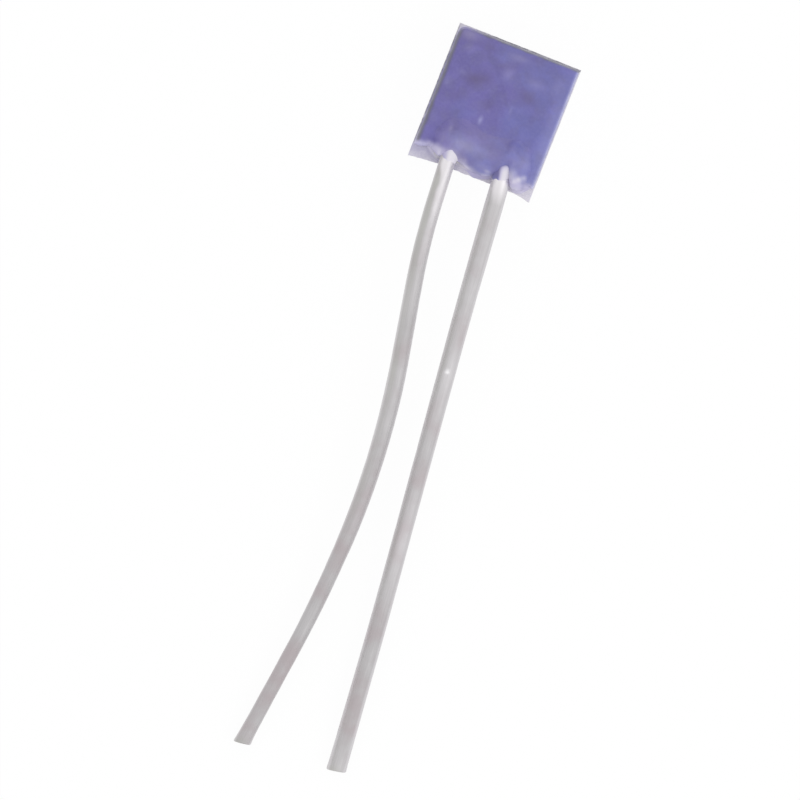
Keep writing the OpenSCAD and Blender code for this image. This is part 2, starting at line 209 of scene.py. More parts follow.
# Floor, in metres apart from how far it lies below the part, and its share of plain white
FLOOR_HALF = 1.5
FLOOR_DROP = 0.004
FLOOR_WHITE = 0.94
WHITE = (1, 1, 1, 1)


def placed(name, data):
    """New object of the scene from a mesh, curve, lamp or camera."""
    made = bpy.data.objects.new(name, data)
    bpy.context.scene.collection.objects.link(made)
    return made


def solid(name, points, faces, material, flat=()):
    """Closed mesh object from points in millimetres; faces named in flat keep their hard edge."""
    mesh = bpy.data.meshes.new(name)
    mesh.from_pydata((np.array(points) * MM).tolist(), [], faces)
    mesh.validate()
    work = bmesh.new()
    work.from_mesh(mesh)
    bmesh.ops.recalc_face_normals(work, faces=work.faces)
    work.to_mesh(mesh)
    work.free()
    mesh.polygons.foreach_set("use_smooth", [i not in flat for i in range(len(mesh.polygons))])
    mesh.materials.append(material)
    return placed(name, mesh)


def tube_faces(rings, around):
    """Side faces of a tube whose points come ring after ring."""
    pairs = [(i, (i + 1) % around) for i in range(around)]
    starts = range(0, (rings - 1) * around, around)
    return [(k + i, k + j, k + around + j, k + around + i) for k in starts for i, j in pairs]


def tube_ends(rings, around):
    """Both end faces of such a tube."""
    return [tuple(range(around)), tuple(range((rings - 1) * around, rings * around))]


def vertex_mask(obj, name, values):
    """Stores one number for each vertex, for the materials to read."""
    layer = obj.data.attributes.new(name, "FLOAT", "POINT")
    layer.data.foreach_set("value", np.asarray(values, np.float32))


def glass_masks(obj, rows):
    """Stores what the glazes read, from one row for each vertex."""
    for name, values in zip(("thinness", "painted_shade", "pale", "dull"), zip(*rows)):
        vertex_mask(obj, name, values)


def ripple(x, y, z, size, octaves=3):
    """Smooth noise from about -1 to 1 with waves of the given size in millimetres."""
    return noise.fractal(Vector((x / size, y / size, z / size)), 1.0, 2.0, octaves)


def smooth(start, full, value):
    """Soft step from 0 at start to 1 at full, which may be the lower of the two."""
    t = min(max((value - start) / (full - start), 0.0), 1.0)
    return t * t * (3 - 2 * t)


def value_at(marks, place):
    """Value at a place between marks given as (place, value)."""
    return float(np.interp(place, *zip(*marks)))


def spots(marks, x, y):
    """Sum of soft spots, each given as place, half width across and along, and strength."""
    parts = (s * math.exp(-((x - px) / a) ** 2 - ((y - py) / b) ** 2) for px, py, a, b, s in marks)
    return min(1.0, sum(parts))


def curve_point(p0, p1, p2, p3, t):
    return 0.5 * (2 * p1 + (p2 - p0) * t + (2 * p0 - 5 * p1 + 4 * p2 - p3) * t * t
                  + (3 * p1 - p0 - 3 * p2 + p3) * t ** 3)


def open_curve(marks, steps):
    """Smooth curve through the marks, held at its ends."""
    last = len(marks) - 1
    curve = [
        curve_point(marks[max(i - 1, 0)], marks[i], marks[i + 1], marks[min(i + 2, last)], k / steps)
        for i in range(last) for k in range(steps)
    ]
    return np.array(curve + [marks[last]])


def distances(places):
    """Distance along a route at each of its places."""
    return np.concatenate([[0.0], np.cumsum(np.linalg.norm(np.diff(places, axis=0), axis=1))])


def place_at(along, travelled, places):
    """Places of a route at distances along it."""
    return np.stack([np.interp(along, travelled, places[:, k]) for k in range(3)], -1)


# Helpers for shader and geometry nodes

FLOAT = "NodeSocketFloat"
COLOUR = "NodeSocketColor"
VECTOR = "NodeSocketVector"
GEOMETRY = "NodeSocketGeometry"


def new_tree(name, kind, inputs, outputs):
    """Empty node group with its inputs and outputs, given as their names and kinds."""
    tree = bpy.data.node_groups.new(name, kind)
    for way, sockets in (("INPUT", inputs), ("OUTPUT", outputs)):
        for label, socket_kind in sockets.items():
            tree.interface.new_socket(label, in_out=way, socket_type=socket_kind)
    return tree, tree.nodes.new("NodeGroupInput").outputs, tree.nodes.new("NodeGroupOutput").inputs


def add(tree, kind, inputs=None, **settings):
    """New node with its settings, and with its inputs set to values or joined to sockets."""
    made = tree.nodes.new(kind)
    for key, value in settings.items():
        setattr(made, key, value)
    for key, value in (inputs or {}).items():
        if isinstance(value, bpy.types.NodeSocket):
            tree.links.new(value, made.inputs[key])
        else:
            made.inputs[key].default_value = value
    return made


def maths(tree, operation, a, b=0.0):
    return add(tree, "ShaderNodeMath", {0: a, 1: b}, operation=operation).outputs[0]


def times(tree, a, b):
    return maths(tree, "MULTIPLY", a, b)


def between(tree, value, low, high, to_low=0.0, to_high=1.0):
    """Value taken smoothly from one range to another."""
    inputs = {0: value, 1: low, 2: high, 3: to_low, 4: to_high}
    return add(tree, "ShaderNodeMapRange", inputs, interpolation_type="SMOOTHSTEP").outputs[0]


def cloud(tree, place, scale, detail, **more):
    """Noise around a half; more holds the node's other inputs."""
    inputs = {"Vector": place, "Scale": scale, "Detail": detail, **more}
    return add(tree, "ShaderNodeTexNoise", inputs).outputs["Fac"]


def blend(tree, share, first, second, mode="MIX"):
    """Mixed colour of two."""
    inputs = {0: share, 6: first, 7: second}
    mix = add(tree, "ShaderNodeMix", inputs, data_type="RGBA", blend_type=mode, clamp_factor=True)
    return mix.outputs[2]


def rgb(red, green, blue):
    """Colour from screen values of 0 to 255."""
    linear = [((c / 255 + 0.055) / 1.055) ** 2.4 if c > 10 else c / 255 / 12.92 for c in (red, green, blue)]
    return (*linear, 1.0)


def mottle_group():
    """Patches of three colours that run into each other, as glass fired in patches has."""
    inputs = {"Position": VECTOR, "Main": COLOUR, "Second": COLOUR, "Dull": COLOUR, "Lean": FLOAT,
              "Patch Size": FLOAT, "Deepest": FLOAT}
    outputs = {"Color": COLOUR, "Patches": FLOAT}
    tree, given, out = new_tree("fired_mottle", "ShaderNodeTree", inputs, outputs)
    place = given["Position"]
    scale = maths(tree, "DIVIDE", 1.0, given["Patch Size"])
    broad = cloud(tree, place, scale, 3.0, Roughness=0.55)
    fine = cloud(tree, place, times(tree, scale, 3.2), 2.0, Roughness=0.5, Distortion=0.3)
    leaning = maths(tree, "ADD", broad, given["Lean"])
    first = blend(tree, between(tree, leaning, 0.36, 0.64), given["Main"], given["Second"])
    dull_share = times(tree, between(tree, fine, 0.42, 0.72), 0.4)
    second = blend(tree, dull_share, first, given["Dull"])
    deep = cloud(tree, place, times(tree, scale, 1.4), 2.0, Roughness=0.6, Distortion=0.6)
    depth = between(tree, deep, 0.32, 0.68, given["Deepest"], 1.0)
    tree.links.new(blend(tree, 1.0, second, depth, "MULTIPLY"), out["Color"])
    tree.links.new(fine, out["Patches"])
    return tree


def grain_group():
    """Fine grain of a fired or cast surface, as a height and as a mask."""
    inputs = {"Position": VECTOR, "Grain Size": FLOAT, "Pits": FLOAT}
    outputs = {"Height": FLOAT, "Mask": FLOAT}
    tree, given, out = new_tree("fine_grain", "ShaderNodeTree", inputs, outputs)
    scale = maths(tree, "DIVIDE", 1.0, given["Grain Size"])
    grain = cloud(tree, given["Position"], scale, 5.0, Roughness=0.62)
    inputs = {"Vector": given["Position"], "Scale": times(tree, scale, 0.45)}
    cells = add(tree, "ShaderNodeTexVoronoi", inputs).outputs["Distance"]
    pits = between(tree, cells, 0.0, 0.32, 1.0, 0.0)
    tree.links.new(maths(tree, "SUBTRACT", grain, times(tree, pits, given["Pits"])), out["Height"])
    tree.links.new(between(tree, grain, 0.35, 0.7), out["Mask"])
    return tree


MOTTLE = mottle_group()
GRAIN = grain_group()


def grained(tree, position, size, pits):
    """Height and mask of the fine grain, for a grain size in millimetres."""
    inputs = {"Position": position, "Grain Size": size, "Pits": pits}
    return add(tree, "ShaderNodeGroup", inputs, node_tree=GRAIN).outputs


def new_material(name, metallic=0.0, ior=1.5):
    """Material with its node tree and the place on the piece in millimetres."""
    material = bpy.data.materials.new(name)
    material.use_nodes = True
    tree = material.node_tree
    surface = tree.nodes["Principled BSDF"].inputs
    surface["Metallic"].default_value = metallic
    surface["IOR"].default_value = ior
    place = add(tree, "ShaderNodeTexCoord").outputs["Object"]
    position = add(tree, "ShaderNodeMapping", {"Vector": place, "Scale": (1 / MM, 1 / MM, 1 / MM)})
    return material, tree, position.outputs["Vector"]


def attribute(tree, name):
    return add(tree, "ShaderNodeAttribute", attribute_name=name).outputs["Fac"]


def finish(material, colour, roughness, height, depth):
    """Joins a finish to its material's shader; depth is the bump's depth in millimetres."""
    tree = material.node_tree
    bump = add(tree, "ShaderNodeBump", {"Height": height, "Distance": depth * MM, "Strength": 1.0})
    surface = tree.nodes["Principled BSDF"].inputs
    for label, socket in (("Base Color", colour), ("Roughness", roughness), ("Normal", bump.outputs[0])):
        tree.links.new(socket, surface[label])
    return material


def glaze_material(name, main, second, dull, dark, blister):
    """Blue-violet glass: mottled, paler where thin, with pale spots, dull patches, painted highlights and
    shadow, and grey painted shade on its edges.
    """
    material, tree, position = new_material(name, ior=1.52)
    across = add(tree, "ShaderNodeSeparateXYZ", {"Vector": position}).outputs["X"]
    mottle = add(tree, "ShaderNodeGroup", {
        "Position": position, "Main": rgb(*main), "Second": rgb(*second), "Dull": rgb(*dull),
        "Lean": times(tree, across, 0.25), "Patch Size": 0.62, "Deepest": 0.84,
    }, node_tree=MOTTLE).outputs
    grain = grained(tree, position, 0.045, 0.35)
    lit = blend(tree, times(tree, grain["Mask"], 0.1), mottle["Color"], rgb(150, 147, 196))
    # Dull patches; on the bead and collars they are darker places, the strongest a painted shadow left of the
    # right lead
    dulled = blend(tree, attribute(tree, "dull"), lit, rgb(*dark))
    thinness = attribute(tree, "thinness")
    paler = blend(tree, between(tree, thinness, 0.0, 0.65), dulled, rgb(186, 180, 214))
    bare = blend(tree, between(tree, thinness, 0.7, 1.0), paler, rgb(200, 197, 210))
    # Pale spots, with painted highlights on the bead and painted light at the glass's right rim
    spotted = blend(tree, attribute(tree, "pale"), bare, rgb(*blister))
    # Grey painted shade on the edges of the glass and collars that face away from the light
    edge_shaded = blend(tree, attribute(tree, "painted_shade"), spotted, rgb(96, 95, 102))
    roughness = between(tree, mottle["Patches"], 0.3, 0.75, 0.3, 0.5)
    return finish(material, edge_shaded, roughness, grain["Height"], 0.002)


def ceramic_material():
    """Fired alumina: matt off-white grain, painted shade along its left and far rims and a thin wash of glaze
    near the leads.
    """
    material, tree, position = new_material("fired_alumina", ior=1.7)
    grain = grained(tree, position, 0.018, 0.6)
    place = add(tree, "ShaderNodeSeparateXYZ", {"Vector": position}).outputs
    wash = between(tree, place["Z"], plate_top - 0.03, plate_top - 0.004)
    patchy = between(tree, cloud(tree, position, 4.2, 3.0), 0.36, 0.6, 0.45, 1.0)
    stained_left = between(tree, place["X"], -0.5, 0.6, 0.85, 0.1)
    near_glass = between(tree, place["Y"], -1.13, -0.98, 0.35, 0.8)
    near_leads = maths(tree, "LESS_THAN", place["Y"], -0.6)
    for share in (patchy, stained_left, near_glass, near_leads):
        wash = times(tree, wash, share)
    plain = blend(tree, grain["Mask"], rgb(210, 206, 218), rgb(230, 227, 234))
    washed = blend(tree, wash, plain, rgb(160, 155, 191))
    spotty = between(tree, cloud(tree, position, 9.0, 4.0, Roughness=0.7), 0.35, 0.6, 0.15, 0.85)
    # Painted shade along the far and left rims, the sides turned away from the light, broken into spots high
    # up on the walls
    rim_start, rim_full = 0.05, 0.03
    top_rim_shade = times(tree, between(tree, place["Y"], plate_high[1] - rim_start, plate_high[1] - rim_full),
                    between(tree, place["X"], -0.8, -0.3, 0.3, 1.0))
    left_rim_shade = times(tree, between(tree, place["X"], plate_low[0] + rim_start, plate_low[0] + rim_full),
                     between(tree, place["Y"], -0.95, -0.8))
    rim_shade = times(tree, maths(tree, "MAXIMUM", top_rim_shade, left_rim_shade), spotty)
    high_up = between(tree, place["Z"], plate_top - 0.16, plate_top - 0.02)
    colour = blend(tree, times(tree, rim_shade, high_up), washed, rgb(124, 122, 134))
    roughness = maths(tree, "SUBTRACT", 0.62, times(tree, wash, 0.3))
    return finish(material, colour, roughness, grain["Height"], 0.003)


def wire_material():
    """Drawn silvery wire: fine lines along it, pinkish dull patches, a painted shaded flank, a painted sheen
    and painted nick glints.
    """
    material, tree, position = new_material("drawn_wire", metallic=1.0)
    turn = times(tree, attribute(tree, "around"), 2 * math.pi)
    drawn = add(tree, "ShaderNodeCombineXYZ", {
        "X": times(tree, attribute(tree, "along"), 0.9 / MM),
        "Y": times(tree, maths(tree, "COSINE", turn), 6.0),
        "Z": times(tree, maths(tree, "SINE", turn), 6.0),
    }).outputs["Vector"]
    lines = cloud(tree, drawn, 2.0, 5.0, Roughness=0.65)
    patches = cloud(tree, position, 1.6, 4.0)
    grain = grained(tree, position, 0.03, 0.4)
    clean = blend(tree, between(tree, lines, 0.3, 0.7), rgb(191, 189, 190), rgb(202, 200, 201))
    dulled = blend(tree, between(tree, patches, 0.42, 0.7, 0.0, 0.8), clean, rgb(198, 190, 192))
    # Painted shade down the left flank, the side away from the light, and at the darker tip
    shaded = blend(tree, attribute(tree, "shade"), dulled, rgb(196, 195, 193))
    sheen = attribute(tree, "sheen")
    # Painted sheen down the lit right flank and painted reflection at both outer edges; where it lies the
    # wire is also smoother
    brighter = blend(tree, sheen, shaded, rgb(228, 225, 228))
    # Painted glints on small nicks
    glinted = blend(tree, attribute(tree, "nick_glint"), brighter, rgb(245, 244, 245))
    dull_rough = between(tree, patches, 0.3, 0.7, 0.7, 0.82)
    roughness = maths(tree, "SUBTRACT", dull_rough, times(tree, sheen, 0.25))
    height = maths(tree, "ADD", lines, times(tree, grain["Height"], 0.6))
    return finish(material, glinted, roughness, height, 0.0012)


def sealed_metal(name, first, second):
    """Fired metal film or pad under the glass."""
    material, tree, position = new_material(name, metallic=1.0)
    grain = grained(tree, position, 0.01, 0.5)
    colour = blend(tree, grain["Mask"], rgb(*first), rgb(*second))
    roughness = between(tree, grain["Mask"], 0.0, 1.0, 0.35, 0.55)
    return finish(material, colour, roughness, grain["Height"], 0.001)


def plate_outline():
    """Points close together round the plate, with their outward direction and whether they were snapped."""
    half_w, half_l = plate_high[:2]
    corners = np.array([
        (-half_w, half_l), (-half_w, -half_l), (-half_w + SNAP_LEFT, -half_l + SNAP_DEPTH),
        (half_w - SNAP_RIGHT, -half_l + SNAP_DEPTH), (half_w, -half_l), (half_w, half_l)])
    snapped = (1, 2, 3)
    ring = []
    for i, start in enumerate(corners):
        way = corners[(i + 1) % len(corners)] - start
        length = np.linalg.norm(way)
        out = np.array([way[1], -way[0]]) / length
        count = int(round(length / OUTLINE_STEP))
        ring += [[start + way * k / count, out, i in snapped] for k in range(count)]
    for i in range(len(ring)):
        before, here = ring[i - 1][1], ring[i][1]
        if abs(before @ here) < 0.999:
            ring[i][1] = (before + here) / (1 + before @ here)
    return ring


def ceramic_plate(material):
    """Plate with eased edges, sawn sides and a rough snapped end that falls back below its top edge."""
    ring = plate_outline()
    half_w, half_l = plate_high[:2]
    bevel, eased = PLATE_BEVEL, 0.3 * PLATE_BEVEL
    rise = [0, eased, bevel, *np.linspace(CHIP_BAND, plate_top - CHIP_BAND, WALL_RINGS),
            plate_top - bevel, plate_top - eased, plate_top]
    inset = [bevel, eased, 0, *[0] * WALL_RINGS, 0, eased, bevel]
    points = []
    for z, back in zip(rise, inset):
        depth = 1 - z / plate_top
        for (x, y), out, rough in ring:
            wander = 0.5 + 0.5 * ripple(x, y, 0.0, 0.09)
            broken = depth * (1.2 + ripple(x, y, z, 0.1))
            chip = max(0.0, ripple(x, y, 3.0, 0.12) - 0.25) * max(1 - z / CHIP_BAND, 0.0)
            sawn, torn = (a * wander + b * broken + c * chip for a, b, c in (SAWN_SIDE, TORN_SIDE))
            from_corner = math.hypot(half_w - abs(x), half_l + y)
            share = smooth(0.0, CORNER_EASE, from_corner) if rough else 0.0
            cut = back + sawn + (torn - sawn) * share
            points.append((x - out[0] * cut, y - out[1] * cut, z))
    n = len(ring)
    faces = tube_faces(len(rise), n)
    walls = len(faces)
    for first, z in ((0, 0.0), ((len(rise) - 1) * n, plate_top)):
        points.append((0.0, 0.0, z))
        faces += [(len(points) - 1, first + i, first + (i + 1) % n) for i in range(n)]
    return solid("ceramic_plate", points, faces, material, flat=range(walls, len(faces)))


def rolled(distance, width):
    """Height share of a rolled edge at a distance in from it."""
    t = min(max(distance / width, 0.0), 1.0)
    return math.sqrt(1 - (1 - t) ** 2)


def paling(x, y):
    """How far the glass has thinned past its full blue edge, from 0 to 1."""
    edge = value_at(BLUE_EDGE, x) + 0.03 * ripple(x, y, 6.0, 0.16)
    patchy = 0.75 + 0.35 * ripple(x, y, 8.0, 0.2)
    return smooth(edge + PALING_START, edge - PALING_REACH, y) * min(patchy, 1.0)


def glass_top(x, y, share):
    """Top of the cover glass where its edges leave it this share of its height."""
    wave = 0.005 * ripple(x, y, 1.0, 0.5) + 0.0012 * ripple(x, y, 2.0, 0.11)
    return plate_top + (GLASS_THICKNESS - 0.005 + wave + spots(BLISTER_HEIGHTS, x, y)) * share


def glass_share(x, y, front):
    """Share of its height that the cover glass has, below 1 at its rolled edges and its thin corner."""
    share = rolled(x - glass_low[0], ROLL_LEFT) * rolled(glass_high[0] - x, ROLL_RIGHT)
    share *= rolled(glass_high[1] - y, ROLL_END) * rolled(y - front, ROLL_FRONT)
    corner = (x - glass_low[0]) + (glass_high[1] - y) + 0.03 * ripple(x, y, 3.0, 0.1)
    return share * (CORNER_HEIGHT + (1 - CORNER_HEIGHT) * smooth(*CORNER_RISE, corner))


def glass_marks(x, y, share):
    """How thin the cover glass is at a place, with its painted shade, pale spots and painted light, and dull
    patches.
    """
    from_left, from_right, from_end = x - glass_low[0], glass_high[0] - x, glass_high[1] - y
    corner = from_left + from_end
    # Thin low down at the far left corner and near the leads, and a little on the face by that corner
    thin_edge = smooth(0.55, 0.05, share) * max(smooth(0.3, 0.1, corner), smooth(-0.6, -0.8, y))
    thin = max(thin_edge, paling(x, y), spots(CORNER_PALE, from_left, from_end), spots(PALE_PATCHES, x, y))
    # Painted shade down the rolled left side and along the far end, the edges turned away from the light
    inward = from_left + 0.012 * ripple(x, y, 4.0, 0.2)
    shaded_side = smooth(-0.01, 0.03, inward) * smooth(0.1, 0.03, inward)
    shaded_side *= smooth(-0.9, -0.84, y) * smooth(0.05, 0.2, corner)
    shaded_end = smooth(0.055, 0.02, from_end + 0.012 * ripple(x, y, 4.0, 0.12))
    painted_shade = max(0.85 * shaded_side, 0.8 * shaded_end * smooth(0.15, 0.5, from_left))
    # Painted light at the right rim, where light from the bright side shines through
    right_rim = 0.36 * smooth(0.06, 0.0, from_right) * (0.8 + 0.5 * ripple(x, y, 7.0, 0.15))
    pale = max(spots(BLISTER_PALENESS, x, y), right_rim) + spots(BRIGHT_PATCHES, x, y)
    return thin, painted_shade, pale, spots(DULL_PATCHES, x, y)


def edge_steps(width, count):
    """Distances that follow a rolled edge evenly."""
    return [width * (1 - math.cos(math.pi / 2 * k / count)) for k in range(count)]


def glass_grid(windows, window_back):
    """Places across of the sheet's columns, and the rows along each, close together at the rolled edges."""
    left, right, end = glass_low[0], glass_high[0], glass_high[1]
    stops = [left + ROLL_LEFT, *windows[0], *windows[1], right - ROLL_RIGHT]
    xs = [left + d for d in edge_steps(ROLL_LEFT, 9)]
    for a, b in zip(stops, stops[1:]):
        xs += list(np.linspace(a, b, max(2, int((b - a) / COLUMN_STEP)), endpoint=False))
    xs += [stops[-1]] + [right - d for d in reversed(edge_steps(ROLL_RIGHT, 7))]
    columns = []
    for x in xs:
        front = value_at(FRONT_EDGE, x) + 0.012 * ripple(x, 0.0, 5.0, 0.12)
        rows = [front + d for d in edge_steps(ROLL_FRONT, 8)]
        rows += list(np.linspace(front + ROLL_FRONT, window_back, FRONT_ROWS, endpoint=False))
        rows += list(np.linspace(window_back, end - ROLL_END, FACE_ROWS, endpoint=False))
        rows += [end - ROLL_END] + [end - d for d in reversed(edge_steps(ROLL_END, 7))]
        columns.append(rows)
    return xs, columns


def cover_glass(material):
    """Sheet of glass with rolled sides, a thin corner, a ragged front edge and a window at each pad."""
    windows = [(low[0] + WINDOW_LAP, high[0] - WINDOW_LAP) for low, high in pad_boxes]
    window_back = pad_back_y - WINDOW_LAP
    xs, columns = glass_grid(windows, window_back)
    wide, deep = len(xs), len(columns[0])
    points, marks = [], []
    for x, rows in zip(xs, columns):
        for y in rows:
            share = glass_share(x, y, rows[0])
            points.append((x, y, glass_top(x, y, share)))
            marks.append(glass_marks(x, y, share))
    top = len(points)
    points += [(x, y, plate_top) for x, rows in zip(xs, columns) for y in rows]
    marks += [(0.0, 0.0, 0.0, 0.0)] * top
    first_row = next(i for i, y in enumerate(columns[0]) if y >= window_back)

    def is_glass(i, j):
        if not (0 <= i < wide - 1 and 0 <= j < deep - 1):
            return False
        middle = (xs[i] + xs[i + 1]) / 2
        return j >= first_row or not any(a < middle < b for a, b in windows)

    faces = []
    for i in range(wide - 1):
        for j in range(deep - 1):
            if not is_glass(i, j):
                continue
            a, b, c, d = i * deep + j, (i + 1) * deep + j, (i + 1) * deep + j + 1, i * deep + j + 1
            faces += [(a, b, c, d), (top + d, top + c, top + b, top + a)]
            sides = ((a, b, (i, j - 1)), (b, c, (i + 1, j)), (c, d, (i, j + 1)), (d, a, (i - 1, j)))
            faces += [(q, p, top + p, top + q) for p, q, beside in sides if not is_glass(*beside)]
    sheet = solid("glass_sheet", points, faces, material)
    glass_masks(sheet, marks)
    return sheet


def bead_marks():
    """Sections of the bead from left to right: place, back edge, front edge and height."""
    back = pad_back_y + BEAD_LAP
    front = pad_end_y - BEAD_RUNOUT
    left = pad_boxes[0][0][0] - BEAD_WING
    right = glass_high[0] - BEAD_RIGHT_ROOM
    wire_x = [wire.root_x + (ROOT_Y - front) * math.tan(math.radians(wire.heading)) for wire in (LEFT, RIGHT)]
    flank = 1.2 * WIRE_RADIUS
    low, shoulder = 0.68 * BEAD_HEIGHT, 0.92 * BEAD_HEIGHT
    lobe = (pad_back_y - pad_end_y) / 10
    return np.array([
        (left, pad_mid_y + 3 * lobe, pad_mid_y - 2 * lobe, GLASS_THICKNESS / 2),
        (left + lobe, back - lobe, front + 3 * lobe, low),
        (wire_x[0] - flank, back - lobe / 2, front + lobe, shoulder),
        (wire_x[0], back, front + LEFT.bead_draw, BEAD_HEIGHT),
        (wire_x[0] + flank, back, front + 1.5 * lobe, shoulder),
        (sum(wire_x) / 2, back - lobe, front, BEAD_HEIGHT - BEAD_SADDLE),
        (wire_x[1] - flank, back - lobe / 2, front + lobe, shoulder),
        (wire_x[1], back, front + RIGHT.bead_draw, BEAD_HEIGHT),
        (wire_x[1] + flank, back - lobe / 2, front, shoulder),
        (right - 2.5 * lobe, back - lobe, front + lobe / 2, low),
        (right, pad_mid_y + 3 * lobe, front + 3 * lobe, GLASS_THICKNESS / 2),
    ])


def bead_section(back, front, height, reach):
    """Places and heights across the bead: soft back slope, crest, round front and a thin toe."""
    crest = front + BEAD_CREST * (back - front)
    skirt = back + BEAD_SKIRT
    foot = min(GLASS_THICKNESS - BEAD_DIP, height / 2)
    section = [(skirt, -BEAD_ROOT)]
    for k in range(SLOPE_STEPS):
        t = 1 - k / SLOPE_STEPS
        softened = foot + (height - foot) * (1 + math.cos(math.pi * t)) / 2
        section.append((crest + (skirt - crest) * t, softened))
    for k in range(ARCH_STEPS + 1):
        a = math.pi / 2 * k / ARCH_STEPS
        forward, lifted = (max(f(a), 0.0) ** (2 / BEAD_FULLNESS) for f in (math.sin, math.cos))
        section.append((crest - (crest - front) * forward, math.hypot(height * lifted, TOE_HEIGHT)))
    for k in range(1, TOE_STEPS + 1):
        t = k / TOE_STEPS
        section.append((front - reach * t, TOE_HEIGHT * (1 - t) ** 0.8))
    return section + [(front - reach, -BEAD_ROOT)]


def collar_marks(wire, t, side):
    """How thin a collar is, with its painted shade, pale marks and painted highlight, and painted shadow: t
    runs to its end, and side from -1 at its left to 1.
    """
    clear = wire.collar_thin + (1 - wire.collar_thin) * smooth(-0.45, 0.1, side)
    out = smooth(0.2, 0.52, t)
    flank = smooth(0.2, 0.95, side) * (1 - out)
    thin = clear * (0.1 + 0.85 * out) * (1 - 0.6 * flank) + (1 - clear) * smooth(0.75, 1.0, t)
    # Pale where thin, with a painted highlight down its right side
    pale = max(clear - 0.1, 0.0) * smooth(-0.5, 0.1, side) * (1 - 0.8 * flank) * (0.1 + 0.87 * out)
    # Painted shadow on a left side that has stayed thick, as left of the right lead
    dull = 0.6 * (1 - clear) * smooth(0.9, 0.6, t)
    # Painted shade on its left flank towards its end, as on the wire below
    painted_shade = 0.16 * smooth(-0.2, -0.7, side) * smooth(0.5, 0.8, t)
    return thin, painted_shade, pale, dull


def fixing_bead(material):
    """Bead of glass over the welds, with a thin toe that has run out towards the snapped edge."""
    points, marks = [], []
    sections = open_curve(bead_marks(), BETWEEN_SECTIONS)
    for x, back, front, height in sections:
        from_end = min(x - sections[0][0], sections[-1][0] - x)
        height = BEAD_END + (height - BEAD_END) * smooth(0.0, BEAD_SHOULDER, from_end)
        reach = TOE_REACH * (0.75 + 0.5 * ripple(x, 0.0, 9.0, 0.2))
        section = bead_section(back, front, height, reach)
        for y, z in section:
            swell = 1 + 0.05 * ripple(x, y, 1.0, 0.35) + 0.015 * ripple(x, y, 2.0, 0.08)
            points.append((x, y, plate_top + (z * swell if z > 0 else z)))
            toe = smooth(0.16, 0.03, z) * (1 - spots(BLUE_TOES, x, 0.0))
            marks.append((max(toe, 0.8 * paling(x, y)), 0.0, spots(BEAD_PALE, x, y), spots(BEAD_DARK, x, y)))
    faces = tube_faces(len(sections), len(section)) + tube_ends(len(sections), len(section))
    for wire in (LEFT, RIGHT):
        ring_points, ring_faces, shares = collar(wire)
        faces += [tuple(len(points) + i for i in face) for face in ring_faces]
        points += ring_points
        marks += [collar_marks(wire, t, side) for t, side in shares]
    bead = solid("glass_bead", points, faces, material, flat=[i for i, f in enumerate(faces) if len(f) > 4])
    glass_masks(bead, marks)
    return bead


def collar(wire):
    """Shell of glass round a wire from inside the bead to where it ends, with each point's share and side."""
    places = np.array(lead_route(wire))
    travelled = distances(places)
    points, shares = [], []
    for k in range(COLLAR_STEPS + 1):
        t = k / COLLAR_STEPS
        along = wire.collar_start + wire.collar_reach * t
        centre, ahead, behind = (place_at(along + d, travelled, places) for d in (0.0, 0.02, -0.02))
        way = (ahead - behind) / np.linalg.norm(ahead - behind)
        side = np.array([-way[1], way[0], 0.0]) / math.hypot(*way[:2])
        lift = np.cross(way, side)
        half_width = WIRE_RADIUS * value_at(wire.widths, along / travelled[-1])
        for i in range(WIRE_SIDES):
            a = 2 * math.pi * i / WIRE_SIDES
            u, v = math.cos(a), math.sin(a)
            ends_at = 0.9 - max(wire.collar_skew * u, 0.0) - 0.1 * ripple(u, v, wire.root_x, 0.8)
            left = max(1 - t / ends_at, 0.0)
            glass = wire.collar_glass * left ** 1.35 * smooth(0.0, 0.4, t)
            glass *= 1 + 0.15 * ripple(t, a, wire.root_x, 0.7)
            glass -= 0.01 * smooth(0.5, 1.0, t)
            points.append(tuple(centre + (half_width + glass) * u * side + (WIRE_RADIUS + glass) * v * lift))
            shares.append((t, u))
    faces = tube_faces(COLLAR_STEPS + 1, WIRE_SIDES) + tube_ends(COLLAR_STEPS + 1, WIRE_SIDES)
    return points, faces, shares


def lead_route(wire):
    """Centreline of a lead from the end of its tail: straight, drooped, then bent in the drooped plane."""
    turned, reach, steps = 0.0, 0.0, []
    for run, radius, degrees in wire.bends:
        angle = math.radians(degrees)
        steps += [(run, 0.0), (radius * abs(angle), angle)]
        reach += run * math.cos(turned)
        reach += radius * abs(math.sin(turned + angle) - math.sin(turned))
        turned += angle
    reach += wire.tip_run * math.cos(turned)
    across = WIRE_RADIUS - DROOP_RADIUS
    slope = math.asin((WIRE_Z - DROOP_RADIUS) / math.hypot(reach, across)) - math.atan2(across, reach)
    flat = [(0.0, 0.0)]
    way = 0.0
    for length, angle in steps + [(wire.tip_run, 0.0)]:
        count = max(2, int(length / RING_SPACING))
        for _ in range(count):
            way += angle / count / 2
            u, v = flat[-1]
            flat.append((u + math.sin(way) * length / count, v + math.cos(way) * length / count))
            way += angle / count / 2

    def drooped(angle):
        return ROOT_RUN + DROOP_RADIUS * math.sin(angle), -DROOP_RADIUS * (1 - math.cos(angle))

    route = [(0.0, ROOT_RUN * k / ROOT_STEPS, 0.0) for k in range(ROOT_STEPS)]
    route += [(0.0, *drooped(slope * k / DROOP_STEPS)) for k in range(DROOP_STEPS)]
    start = drooped(slope)
    route += [(u, start[0] + v * math.cos(slope), start[1] - v * math.sin(slope)) for u, v in flat]
    c, s = math.cos(math.radians(wire.heading)), math.sin(math.radians(wire.heading))
    return [(wire.root_x + u * c + v * s, ROOT_Y + u * s - v * c, WIRE_Z + z) for u, v, z in route]


